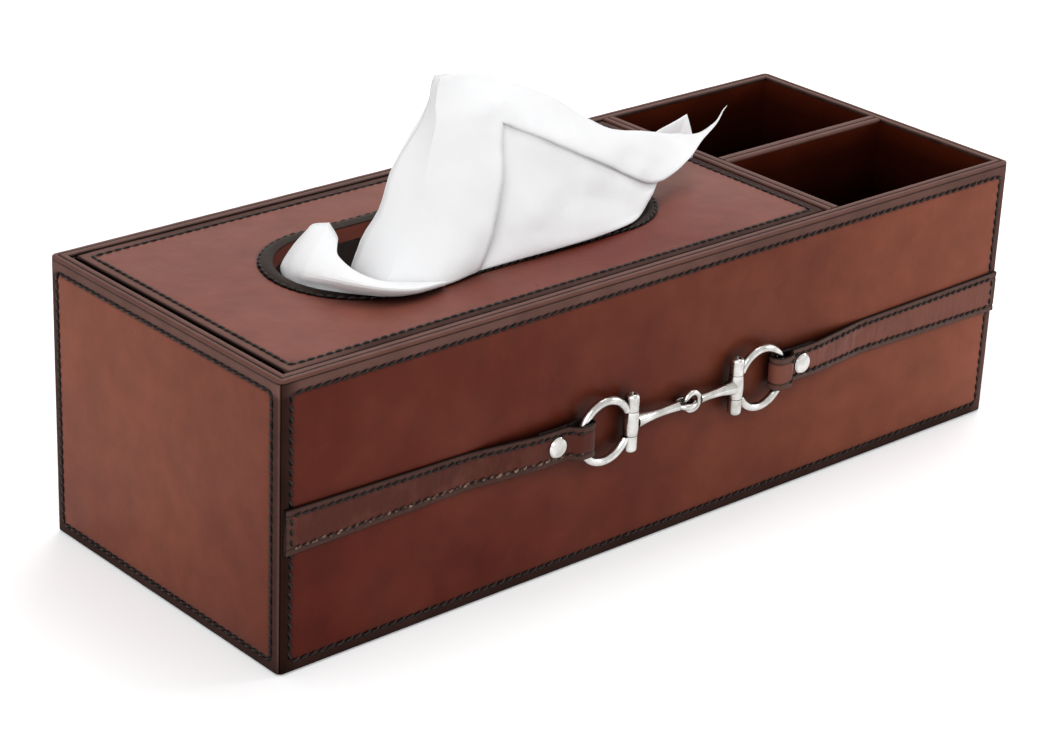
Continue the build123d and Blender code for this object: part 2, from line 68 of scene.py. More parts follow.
STITCH_INSET = 3.8 * MM  # from a panel's edge to its seam
STITCH_CORNER = 2.0 * MM  # the radius of a seam's corners
STITCH_PITCH, STITCH_LENGTH = 3.5 * MM, 3.3 * MM
THREAD = 0.5 * MM  # radius
EDGE_ROLL = 0.55 * MM  # the radius of a panel's rolled edge
# Within this reach, leather takes painted shade from what lies close to it.
CONTACT = 9 * MM  # how close things lie to leather that darken it


# ---- nodes and materials


def plug(tree, socket, value):
    """Link a socket to a node's output, or set its value."""
    if isinstance(value, bpy.types.NodeSocket):
        tree.links.new(value, socket)
    else:
        socket.default_value = (*value, 1.0) if socket.type == "RGBA" else value


def add(tree, kind, inputs=None, **settings):
    """A shader node with its settings and its sockets."""
    made = tree.nodes.new(kind)
    for key, value in settings.items():
        setattr(made, key, value)
    for key, value in (inputs or {}).items():
        plug(tree, made.inputs[key], value)
    return made


def mix(tree, factor, a, b, blend="MIX"):
    """A colour between a and b."""
    inputs = {0: factor, 6: a, 7: b}
    return add(tree, "ShaderNodeMix", inputs, data_type="RGBA", blend_type=blend).outputs[2]


def ramp(tree, factor, *stops):
    """A grey value that follows a list of (position, value) stops."""
    made = add(tree, "ShaderNodeValToRGB", {"Fac": factor})
    elements = made.color_ramp.elements
    while len(elements) < len(stops):
        elements.new(0.5)
    for element, (position, value) in zip(elements, stops):
        element.position = position
        element.color = (value, value, value, 1.0)
    return made.outputs["Color"]


def new_material(name, **constants):
    """A material with a Principled shader whose constants are set on its own sockets."""
    made = bpy.data.materials.new(name)
    made.use_nodes = True
    tree = made.node_tree
    shader = tree.nodes["Principled BSDF"]
    for key, value in constants.items():
        plug(tree, shader.inputs[key.replace("_", " ")], value)
    place = add(tree, "ShaderNodeTexCoord").outputs["Object"]
    return made, tree, shader, place


def arithmetic(tree, operation, *values, clamp=False):
    """The result of a Math node."""
    inputs = dict(enumerate(values))
    return add(tree, "ShaderNodeMath", inputs, operation=operation, use_clamp=clamp).outputs[0]


def point_shade(tree, name):
    """A shade that a mesh's points carry."""
    return add(tree, "ShaderNodeAttribute", attribute_name=name).outputs["Fac"]


def hollow(tree, distance):
    """1 in the open and less where something lies within a distance."""
    return add(tree, "ShaderNodeAmbientOcclusion", {"Distance": distance}, samples=8).outputs["AO"]


def cloud(tree, place, size, detail=4.0, stretch=None):
    """Noise whose patches are about one size, in metres, which stretch makes longer along an axis."""
    if stretch:
        place = add(tree, "ShaderNodeMapping", {"Vector": place, "Scale": stretch}).outputs["Vector"]
    settings = {"Vector": place, "Scale": 1 / size, "Detail": detail, "Roughness": 0.55}
    return add(tree, "ShaderNodeTexNoise", settings).outputs["Fac"]


def paint(tree, shader, colour, roughness):
    """Give a shader its colour and its roughness."""
    tree.links.new(colour, shader.inputs["Base Color"])
    tree.links.new(roughness, shader.inputs["Roughness"])


def bump(tree, shader, *layers):
    """Relief from (height, depth in metres) layers, one on the other."""
    normal = None
    for height, depth in layers:
        inputs = {"Height": height, "Distance": depth, "Strength": 1.0}
        if normal:
            inputs["Normal"] = normal
        normal = add(tree, "ShaderNodeBump", inputs).outputs["Normal"]
    tree.links.new(normal, shader.inputs["Normal"])


def sewn_line(tree, colour):
    """A colour that goes black in the groove of a seam."""
    return mix(tree, point_shade(tree, "seam"), colour, (0.005, 0.003, 0.0025))


def glazed_leather(name, deep, light, margin=None, gloss=0.3, shine=0.05):
    """Antiqued leather: a deep to a light tone set by random patches and by the painted light that its points
    carry, dark at margins, with painted shade where something lies close.
    """
    made, tree, shader, place = new_material(name, Specular_IOR_Level=shine)
    patches = arithmetic(tree, "MULTIPLY_ADD", cloud(tree, place, 60 * MM, 3.0), 0.6, -0.3)
    # On the walls and the lid, the tone that the points carry is painted light and shade.
    rubbing_and_painted_light = arithmetic(tree, "ADD", point_shade(tree, "tone"), patches, clamp=True)
    speck = ramp(tree, cloud(tree, place, 11 * MM, 6.0), (0.25, 0.84), (0.75, 1.12))
    tone = mix(tree, 1.0, mix(tree, rubbing_and_painted_light, deep, light), speck, "MULTIPLY")
    if margin:
        wear_and_painted_light = ramp(tree, cloud(tree, place, 6 * MM, 5.0), (0.38, 0.0), (0.72, 1.0))
        worn = tuple(2.2 * c + 0.004 for c in margin)
        tone = mix(tree, point_shade(tree, "margin"), tone, mix(tree, wear_and_painted_light, margin, worn))
    # Painted shade: the leather darkens where something lies close, under the straps and the bit, by the
    # tissue and in inner corners.
    painted_contact_shade = ramp(tree, hollow(tree, CONTACT), (0.3, 0.12), (0.93, 1.0))
    tone = mix(tree, 1.0, sewn_line(tree, tone), painted_contact_shade, "MULTIPLY")
    polish = ramp(tree, cloud(tree, place, 16 * MM, 5.0), (0.2, gloss - 0.05), (0.8, gloss + 0.09))
    paint(tree, shader, tone, polish)
    pores = add(tree, "ShaderNodeTexVoronoi", {"Vector": place, "Scale": 1 / (0.9 * MM)}).outputs["Distance"]
    swell, grain = cloud(tree, place, 22 * MM, 2.0), cloud(tree, place, 3 * MM, 3.0)
    bump(tree, shader, (swell, 0.35 * MM), (grain, 0.03 * MM), (pores, 0.022 * MM))
    return made


def strap_leather():
    """Softer, darker leather whose finish has cracked across where it was bent, lightened by the painted
    light that its points carry.
    """
    made, tree, shader, place = new_material("strap_leather", Specular_IOR_Level=0.09)
    # The tone points carry painted light: the right strap is lighter than the left, in its field, dyed edge
    # and worn edge alike.
    rubbing_and_painted_light = point_shade(tree, "tone")
    mottle_and_painted_light = arithmetic(tree, "ADD", cloud(tree, place, 14 * MM, 5.0), rubbing_and_painted_light, clamp=True)
    mottle_and_painted_light = ramp(tree, mottle_and_painted_light, (0.4, 0.0), (1.0, 1.0))
    tone = mix(tree, mottle_and_painted_light, (0.060, 0.013, 0.008), (0.150, 0.050, 0.034))
    dyed = mix(tree, rubbing_and_painted_light, (0.030, 0.012, 0.009), (0.075, 0.038, 0.030))
    worn = mix(tree, rubbing_and_painted_light, (0.070, 0.030, 0.022), (0.150, 0.078, 0.062))
    edge = mix(tree, cloud(tree, place, 3 * MM, 5.0), dyed, worn)
    colour = sewn_line(tree, mix(tree, point_shade(tree, "margin"), tone, edge))
    creases = cloud(tree, place, 9 * MM, 4.0, stretch=(5.0, 1.0, 1.0))
    paint(tree, shader, colour, ramp(tree, creases, (0.25, 0.28), (0.75, 0.46)))
    bump(tree, shader, (creases, 0.22 * MM), (cloud(tree, place, 1.3 * MM, 4.0), 0.03 * MM))
    return made


def well_leather():
    """Smooth polished leather, painted darker towards the bottom of a compartment: painted shade."""
    made, tree, shader, place = new_material("well_leather", Specular_IOR_Level=0.1)
    tone = mix(tree, cloud(tree, place, 30 * MM, 5.0), (0.024, 0.003, 0.001), (0.075, 0.012, 0.004))
    height = add(tree, "ShaderNodeSeparateXYZ", {"Vector": place}).outputs["Z"]
    reach = {"Value": height, "From Min": 45 * MM, "From Max": panel_high}
    up = add(tree, "ShaderNodeMapRange", reach).outputs["Result"]
    # Painted shade: the walls go nearly black towards the bottom.
    painted_well_shade = ramp(tree, up, (0.0, 0.03), (0.5, 0.12), (0.85, 0.45), (1.0, 1.0))
    polish = ramp(tree, cloud(tree, place, 12 * MM, 4.0), (0.25, 0.2), (0.75, 0.36))
    paint(tree, shader, mix(tree, 1.0, tone, painted_well_shade, "MULTIPLY"), polish)
    bump(tree, shader, (cloud(tree, place, 15 * MM, 3.0), 0.3 * MM), (cloud(tree, place, 2 * MM), 0.02 * MM))
    return made


def suede(name, dark, pale):
    """Short brushed pile with finger marks."""
    made, tree, shader, place = new_material(name, Specular_IOR_Level=0.1, Sheen_Weight=0.35)
    marks = mix(tree, cloud(tree, place, 18 * MM, 4.0), dark, pale)
    pile = cloud(tree, place, 0.7 * MM, 3.0)
    colour = mix(tree, 1.0, marks, ramp(tree, pile, (0.3, 0.75), (0.7, 1.15)), "MULTIPLY")
    paint(tree, shader, colour, ramp(tree, pile, (0.2, 0.85), (0.8, 0.98)))
    bump(tree, shader, (pile, 0.15 * MM))
    return made


def book_board():
    """Grey-brown pressed board with short fibres."""
    made, tree, shader, place = new_material("book_board", Specular_IOR_Level=0.2)
    fibres = cloud(tree, place, 2.5 * MM, 6.0, stretch=(1.0, 3.0, 3.0))
    tone = mix(tree, fibres, (0.30, 0.24, 0.17), (0.48, 0.40, 0.30))
    paint(tree, shader, tone, ramp(tree, fibres, (0.3, 0.8), (0.7, 0.95)))
    bump(tree, shader, (fibres, 0.1 * MM))
    return made


def nickel():
    """Polished nickel with hairline wear, tarnish in its crevices, and painted shade where it lies close to
    the leather.
    """
    made, tree, shader, place = new_material("nickel", Metallic=1.0)
    smudge = ramp(tree, cloud(tree, place, 5 * MM, 5.0), (0.35, 0.0), (0.65, 1.0))
    bright = mix(tree, smudge, (0.44, 0.425, 0.40), (0.68, 0.67, 0.65))
    # Darker within 6 mm of anything: tarnish in the bit's own crevices, and painted shade on the sides that
    # face the leather.
    wear_and_painted_light = ramp(tree, hollow(tree, 6 * MM), (0.25, 0.0), (0.8, 1.0))
    hair = cloud(tree, place, 1.6 * MM, 6.0, stretch=(1.0, 1.0, 6.0))
    colour = mix(tree, wear_and_painted_light, (0.07, 0.06, 0.052), bright)
    paint(tree, shader, colour, ramp(tree, hair, (0.3, 0.12), (0.75, 0.27)))
    bump(tree, shader, (cloud(tree, place, 2.2 * MM, 3.0), 0.05 * MM), (hair, 0.008 * MM))
    return made


def waxed_thread(name, dark, pale):
    """Black waxed linen thread, with its twist, more or less rubbed; where its pale colour is light, its pale
    patches are painted glints.
    """
    made, tree, shader, place = new_material(name, Specular_IOR_Level=0.16)
    twist = cloud(tree, place, 0.8 * MM, 4.0)
    wear_and_painted_light = ramp(tree, cloud(tree, place, 1.6 * MM, 3.0), (0.46, 0.0), (0.66, 1.0))
    strands = ramp(tree, twist, (0.3, 0.6), (0.7, 1.3))
    tone = mix(tree, 1.0, mix(tree, wear_and_painted_light, dark, pale), strands, "MULTIPLY")
    paint(tree, shader, tone, ramp(tree, twist, (0.3, 0.28), (0.7, 0.5)))
    bump(tree, shader, (twist, 0.1 * MM))
    return made


def tissue_paper():
    """Soft two-ply tissue: faint crepe lines, and light that comes through."""
    made, tree, shader, place = new_material("tissue_paper", Specular_IOR_Level=0.08, Sheen_Weight=0.15)
    crepe = cloud(tree, place, 1.1 * MM, 4.0, stretch=(1.0, 1.0, 5.0))
    soft = cloud(tree, place, 14 * MM, 4.0)
    tone = mix(tree, soft, (0.83, 0.835, 0.84), (0.87, 0.87, 0.875))
    paint(tree, shader, tone, ramp(tree, crepe, (0.3, 0.85), (0.7, 0.98)))
    bump(tree, shader, (soft, 0.5 * MM), (crepe, 0.05 * MM))
    relief = shader.inputs["Normal"].links[0].from_socket
    through = add(tree, "ShaderNodeBsdfTranslucent", {"Color": (0.90, 0.90, 0.92), "Normal": relief})
    shaders = {"Fac": 0.22, 1: shader.outputs["BSDF"], 2: through.outputs["BSDF"]}
    both = add(tree, "ShaderNodeMixShader", shaders)
    tree.links.new(both.outputs["Shader"], tree.nodes["Material Output"].inputs["Surface"])
    return made


# Each leather's deep tone, light tone and margin, in linear colours.
leather = glazed_leather(
    "panel_leather", (0.066, 0.0075, 0.003), (0.226, 0.064, 0.034), (0.02, 0.008, 0.006), shine=0.07
)
lid_finish = glazed_leather(
    "lid_leather", (0.110, 0.012, 0.004), (0.186, 0.062, 0.043), (0.03, 0.013, 0.008), shine=0.1
)
border_finish = glazed_leather(
    "border_leather", (0.018, 0.007, 0.005), (0.130, 0.066, 0.055), gloss=0.4, shine=0.015
)
rim_finish = glazed_leather(
    "rim_leather", (0.070, 0.028, 0.021), (0.140, 0.058, 0.044), (0.016, 0.007, 0.005), 0.36, 0.09
)
slot_wall_finish = glazed_leather("slot_wall_leather", (0.15, 0.042, 0.029), (0.21, 0.065, 0.047), gloss=0.4)
slot_finish = glazed_leather(
    "slot_leather", (0.022, 0.013, 0.009), (0.055, 0.032, 0.024), (0.02, 0.012, 0.01), gloss=0.4
)
strap_finish = strap_leather()
well_finish = well_leather()
suede_finish = suede("bay_suede", (0.070, 0.051, 0.042), (0.120, 0.090, 0.076))
felt_finish = suede("base_felt", (0.030, 0.020, 0.015), (0.060, 0.042, 0.033))
board_finish = book_board()
metal = nickel()
thread = waxed_thread("waxed_thread", (0.004, 0.003, 0.0025), (0.016, 0.010, 0.008))
# Thread whose pale patches are painted highlights, glints on the left strap's lower seam.
glint_painted_thread = waxed_thread("glint_painted_thread", (0.010, 0.006, 0.005), (0.20, 0.125, 0.090))
paper = tissue_paper()


# ---- mesh helpers


def grid_faces(rows, columns, closed=False):
    """The quads of a grid of points, listed row by row. A closed grid's columns go all the way round."""
    faces = []
    for r in range(rows - 1):
        for c in range(columns if closed else columns - 1):
            here, beside = r * columns + c, r * columns + (c + 1) % columns
            faces.append((here, beside, beside + columns, here + columns))
    return faces


def make_piece(name, points, faces, finish, body, trim=None, **shades):
    """A smooth-shaded mesh that rides on a body. Where its margin shade is high, it has its trim's finish."""
    mesh = bpy.data.meshes.new(name)
    mesh.from_pydata(np.asarray(points, float).reshape(-1, 3).tolist(), [], faces)
    mesh.shade_smooth()
    for word, values in shades.items():
        mesh.attributes.new(word, "FLOAT", "POINT").data.foreach_set("value", np.ravel(values))
    mesh.materials.append(finish)
    if trim:
        mesh.materials.append(trim)
        outside = [int(min(shades["margin"][k] for k in face) > 0.5) for face in faces]
        mesh.polygons.foreach_set("material_index", outside)
    mesh.update()
    piece = bpy.data.objects.new(name, mesh)
    bpy.context.scene.collection.objects.link(piece)
    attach(piece, body)
    return piece


def stops(length, near=7 * MM, fine=0.42 * MM, coarse=3 * MM):
    """Positions from 0 to length, close together near both ends."""
    close = np.arange(0, near, fine)
    middle = np.linspace(near, length - near, max(2, round((length - 2 * near) / coarse)))
    return np.concatenate([close, middle, length - close[::-1]])


def unevenness(point, size, seed=0.0):
    """Smooth noise between about -1 and 1 at a place, with bumps about one size across."""
    return noise.noise(Vector(point) / size + Vector((seed, 1.7 * seed, -seed)))


def run_along(line):
    """How far along a line each of its points lies."""
    return np.concatenate([[0], np.cumsum(np.linalg.norm(np.diff(line, axis=0), axis=1))])


def valley(distance, width):
    """1 on a line and 0 away from it."""
    return np.exp(-((distance / width) ** 2))


def beyond(distance, width):
    """A soft step from 0 before a line to 1 past it."""
    return 1 / (1 + np.exp(-distance / width))


def rolled(distance, radius):
    """How far a rounded edge has dropped, at a distance in from it."""
    inside = np.clip(radius - distance, 0, radius)
    return radius - np.sqrt(np.maximum(radius**2 - inside**2, 0))


def rounded_box_distance(x, y, half_x, half_y, radius):
    """Distance from an outline with rounded corners, negative inside it."""
    qx, qy = np.abs(x) - (half_x - radius), np.abs(y) - (half_y - radius)
    outside = np.hypot(np.maximum(qx, 0), np.maximum(qy, 0))
    return outside + np.minimum(np.maximum(qx, qy), 0) - radius


def rounded_outline(half_x, half_y, radius, step=0.5 * MM):
    """A closed line round a rectangle with rounded corners."""
    line = []
    for turn, (cx, cy) in enumerate(((1, 1), (-1, 1), (-1, -1), (1, -1))):
        for angle in np.linspace(0, pi / 2, max(3, ceil(radius * pi / 2 / step))):
            a = turn * pi / 2 + angle
            line.append((cx * (half_x - radius) + radius * cos(a), cy * (half_y - radius) + radius * sin(a)))
    return np.array(line)


def stadium_outline(radius, parts=48):
    """A closed line round the slot, at a distance from its middle line."""
    line = []
    for end in (1, -1):
        for angle in np.linspace(-pi / 2, pi / 2, parts):
            line.append((slot_x + end * (slot_straight + radius * cos(angle)), end * radius * sin(angle)))
    return np.array(line)


def stitches(
    name, line, normals, body, seed, closed=False,
    pitch=STITCH_PITCH, long=STITCH_LENGTH, askew=12, finish=thread,
):
    """A row of thread stitches along a line, each a short arched bead set a little askew."""
    line, normals = np.asarray(line, float), np.asarray(normals, float)
    if closed:
        line, normals = np.vstack([line, line[:1]]), np.vstack([normals, normals[:1]])
    run = run_along(line)
    count = round(run[-1] / pitch)
    chance = np.random.default_rng(seed)
    reach = np.array([-1.0, -0.72, -0.25, 0.25, 0.72, 1.0]) * long / 2
    girth = np.array([0.25, 0.85, 1.0, 1.0, 0.85, 0.25]) * THREAD
    dip = np.array([-1.5, -0.35, 0.0, 0.0, -0.35, -1.5]) * THREAD
    points, faces, sides, near = [], [], 6, 0.4 * MM

    def at_run(values, where):
        return np.array([np.interp(where, run, values[:, k]) for k in range(3)])

    for at in (np.arange(count) + 0.5) * run[-1] / count:
        centre, up = at_run(line, at), at_run(normals, at)
        ahead = at_run(line, at + near) - at_run(line, at - near)
        up /= np.linalg.norm(up)
        ahead /= np.linalg.norm(ahead)
        across = np.cross(up, ahead)
        skew = radians(askew) + chance.normal(0, radians(3))
        ahead, across = cos(skew) * ahead + sin(skew) * across, cos(skew) * across - sin(skew) * ahead
        first = len(points)
        lift = THREAD * chance.uniform(0.15, 0.4)
        for r, g, d in zip(reach, girth, dip):
            for k in range(sides):
                a = 2 * pi * k / sides
                points.append(centre + r * ahead + (g * cos(a)) * across + (g * sin(a) + d + lift) * up)
        rings = len(reach)
        faces += [tuple(first + i for i in f) for f in grid_faces(rings, sides, closed=True)]
        faces.append(tuple(first + k for k in range(sides))[::-1])
        faces.append(tuple(first + (rings - 1) * sides + k for k in range(sides)))
    piece = make_piece(name, points, faces, finish, body)
    return piece


# ---- the four walls

# Each wall's node, the directions along and out of it, half its length, and how far out its face is.
SIDES = {
    "front": ("front_leather", (1, 0), (0, -1), half_length, half_depth),
    "back": ("back_leather", (-1, 0), (0, 1), half_length, half_depth),
    "left": ("left_end_leather", (0, -1), (-1, 0), half_depth, half_length),
    "right": ("right_end_leather", (0, 1), (1, 0), half_depth, half_length),
}


def on_wall(side, s, z, rise):
    """A place on a wall's face: s along it and round its corners, z up, and rise out of it."""
    along, out = np.array(SIDES[side][1:3], float)
    half, face = SIDES[side][3:]
    flat = half - corner
    if abs(s) <= flat:
        plan = s * along + (face + rise) * out
    else:
        turn = (abs(s) - flat) / corner
        sign = 1 if s > 0 else -1
        centre = sign * flat * along + (face - corner) * out
        plan = centre + (corner + rise) * (sign * sin(turn) * along + cos(turn) * out)
    return (plan[0], plan[1], z)


def smooth(share):
    """An S-curve from 0 to 1."""
    share = np.clip(share, 0, 1)
    return share * share * (3 - 2 * share)


def wall_painted_light(side, s, z):
    """How light a panel is painted, standing in for light: the front lightens towards its right end, as if
    lit from that side, the left end towards its upper back corner, and every wall a little towards its top.
    """
    up = (z - panel_low) / (panel_high - panel_low)
    if side == "front":
        right = max(0.0, (s + half_length) / (2 * half_length))
        return 0.05 + 0.58 * right**1.5 + 0.26 * right**6 + 0.06 * up
    if side == "left":
        return 0.46 + 0.18 * up - 0.18 * s / half_depth
    return 0.5 + 0.1 * up


def border_painted_light(side, s, z):
    """How light a wall's sewn margin is painted, standing in for light and shade: a mauve painted sheen along
    the top and at the front's right end, a painted highlight on the left end's rounded corner at the front,
    dark at the foot, and painted shade near the front's left corner.
    """
    half = SIDES[side][3]
    top = smooth((z - (panel_high - 5.5 * MM)) / (2.5 * MM))
    shade = 0.22 + 0.6 * top
    if side == "front":
        shade *= 0.1 + 0.9 * smooth((s + half) / (9 * MM))
        shade += 0.45 * smooth((s - half + 8 * MM) / (4 * MM)) * (1 - top)
    if side == "left":
        shade += 0.1 + 0.7 * smooth((s - half + 1.6 * MM) / (1.2 * MM))
    return shade


def wall_panel(side):
    """A glazed panel: rolled edges, a sewn groove inside its margin and a faintly uneven field."""
    node, _, out, half, _ = SIDES[side]
    reach = half - corner + corner * pi / 4
    s_stops = stops(2 * reach) - reach
    z_stops = stops(panel_high - panel_low) + panel_low
    middle = (panel_low + panel_high) / 2
    tall = (panel_high - panel_low) / 2
    seam_box = reach - STITCH_INSET, tall - STITCH_INSET
    s_all = np.concatenate([s_stops[:1], s_stops, s_stops[-1:]])
    z_all = np.concatenate([z_stops[:1], z_stops, z_stops[-1:]])
    grid, margin, tone, seam = [], [], [], []
    for j, z in enumerate(z_all):
        for i, s in enumerate(s_all):
            edge = min(reach - abs(s), z - panel_low, panel_high - z)
            sewn = rounded_box_distance(s, z - middle, *seam_box, STITCH_CORNER)
            rise = -rolled(edge, EDGE_ROLL) - 0.26 * MM * valley(sewn, 0.6 * MM)
            if sewn < 0:
                rise += 0.16 * MM * (1 - np.exp(sewn / (5 * MM)))
                rise += 0.10 * MM * unevenness(on_wall(side, s, z, 0), 35 * MM) * min(1, -sewn / (8 * MM))
            else:
                rise += 0.05 * MM * sin(pi * min(1, edge / STITCH_INSET))
                rise += 0.05 * MM * unevenness(on_wall(side, s, z, 0), 6 * MM)
            if j in (0, len(z_all) - 1) or i in (0, len(s_all) - 1):
                rise = -skin
            grid.append(on_wall(side, s, z, rise))
            margin.append(beyond(sewn + 0.2 * MM, 0.35 * MM))
            # The tone carries painted light and shade, on the field and on the margin alike.
            tone.append(wall_painted_light(side, s, z) if margin[-1] < 0.5 else border_painted_light(side, s, z))
            seam.append(0.6 * valley(sewn, 0.5 * MM) if side == "front" else 0.95 * valley(sewn, 0.7 * MM))
    faces = grid_faces(len(z_all), len(s_all))
    piece = make_piece(
        f"{side}_panel", grid, faces, leather, "case", border_finish, margin=margin, tone=tone, seam=seam
    )
    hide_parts(node)
    outline = rounded_outline(*seam_box, STITCH_CORNER)
    line = [on_wall(side, s, z + middle, -0.1 * MM) for s, z in outline]
    askew = 24 if side == "front" else 12
    normals = [(out[0], out[1], 0)] * len(line)
    stitches(f"{side}_stitches", line, normals, "case", closed=True, seed=len(side), askew=askew)


for side in SIDES:
    wall_panel(side)


# ---- the rim


def rim_profile(width):
    """A binding from outside to inside as (how far in, height, how dark): two rolled bands and a seam, the
    inner band painted darker as it turns down inside, as painted shade.
    """
    seam = 0.44 * width
    height = rim_top - panel_high
    profile = [(0.0, 0.0, 1.0), (0.0, 0.12 * MM, 0.9)]
    for angle in np.linspace(0, pi / 2, 7):
        round_over = 0.8 * MM
        profile.append((round_over * (1 - cos(angle)), height - round_over * (1 - sin(angle)), 0.12))
    profile += [
        (0.5 * seam, height + 0.05 * MM, 0.0),
        (seam - 0.55 * MM, height, 0.0),
        (seam - 0.22 * MM, height - 0.2 * MM, 0.9),
        (seam, height - 0.45 * MM, 1.0),
        (seam + 0.22 * MM, height - 0.2 * MM, 0.9),
        (seam + 0.6 * MM, height + 0.04 * MM, 0.0),
        (0.5 * (seam + width), height + 0.10 * MM, 0.0),
    ]
    # Painted shade: the inner round-over darkens as it turns down inside.
    for angle in np.linspace(pi / 2, 0, 7):
        round_over = 0.7 * MM
        shade = 0.2 + 0.8 * cos(angle)
        profile.append((width - round_over * (1 - cos(angle)), height - round_over * (1 - sin(angle)), shade))
    profile.append((width, 0.0, 1.0))
    return profile


def rim_strip(name, node, place, length, width):
    """A binding over a wall's top, whose places place(share along, in, height) gives."""
    profile = rim_profile(width)
    parts = ((-1, -0.97, 8), (-0.97, 0.97, round(length / (2.5 * MM))), (0.97, 1, 8))
    shares = np.unique(np.concatenate([np.linspace(*part) for part in parts]))
    grid, dark = [], []
    for share in shares:
        for inward, height, shade in profile:
            x, y, z = place(share, inward, panel_high + height)
            ripple = 0.05 * MM * unevenness((x, y, z), 7 * MM, 3.0) if height > 0.4 * MM else 0
            grid.append((x, y, z + ripple))
            dark.append(shade)
    faces = grid_faces(len(shares), len(profile))
    piece = make_piece(name, grid, faces, rim_finish, "case", margin=dark, tone=[0.55] * len(dark))
    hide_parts(node)


def rim():
    """The bindings of the four walls, mitred at the corners, and of the partition and the divider."""
    for side, (*_, half, _) in SIDES.items():

        def place(share, inward, z, side=side, half=half):
            reach = half - corner + corner * pi / 4 if inward < corner else half - inward
            return on_wall(side, share * reach, z, -inward)

        rim_strip(f"rim_{side}", f"rim_binding_{side}", place, 2 * half, wall)
    low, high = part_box("partition_binding")
    middle, reach = (low.y + high.y) / 2, (high.y - low.y) / 2
    rim_strip(
        "rim_partition",
        "partition_binding",
        lambda share, inward, z: (low.x + inward, middle - share * reach, z),
        2 * reach,
        high.x - low.x,
    )
    start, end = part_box("divider_binding")
    centre, span = (start.x + end.x) / 2, (end.x - start.x) / 2
    rim_strip(
        "rim_divider",
        "divider_binding",
        lambda share, inward, z: (centre + share * span, start.y + inward, z),
        2 * span,
        end.y - start.y,
    )


rim()


# ---- the lid


def lid_rays():
    """Pairs of points: on the slot's edge, and across from it on the lid's outer edge."""
    pairs = []
    for x in slot_x + np.linspace(-slot_straight, slot_straight, 40):
        pairs.append(((x, -slot_hole), (x, lid_low.y)))
    ends = {1: [], -1: []}
    for end, edge_x in ((1, lid_high.x), (-1, lid_low.x)):
        centre = slot_x + end * slot_straight
        to_corner = atan2(lid_high.y, abs(edge_x - centre))
        parts = ((-pi / 2, -to_corner, 22), (-to_corner, to_corner, 61), (to_corner, pi / 2, 22))
        angles = np.unique(np.concatenate([np.linspace(*part) for part in parts]))
        for a in angles[1:-1]:
            along = min(abs(edge_x - centre) / max(cos(a), 1e-9), lid_high.y / max(abs(sin(a)), 1e-9))
            inner = (centre + end * slot_hole * cos(a), slot_hole * sin(a))
            ends[end].append((inner, (centre + end * along * cos(a), along * sin(a))))
    back = [((ix, -iy), (ox, -oy)) for (ix, iy), (ox, oy) in pairs]
    return pairs + ends[1] + back[::-1] + ends[-1][::-1]


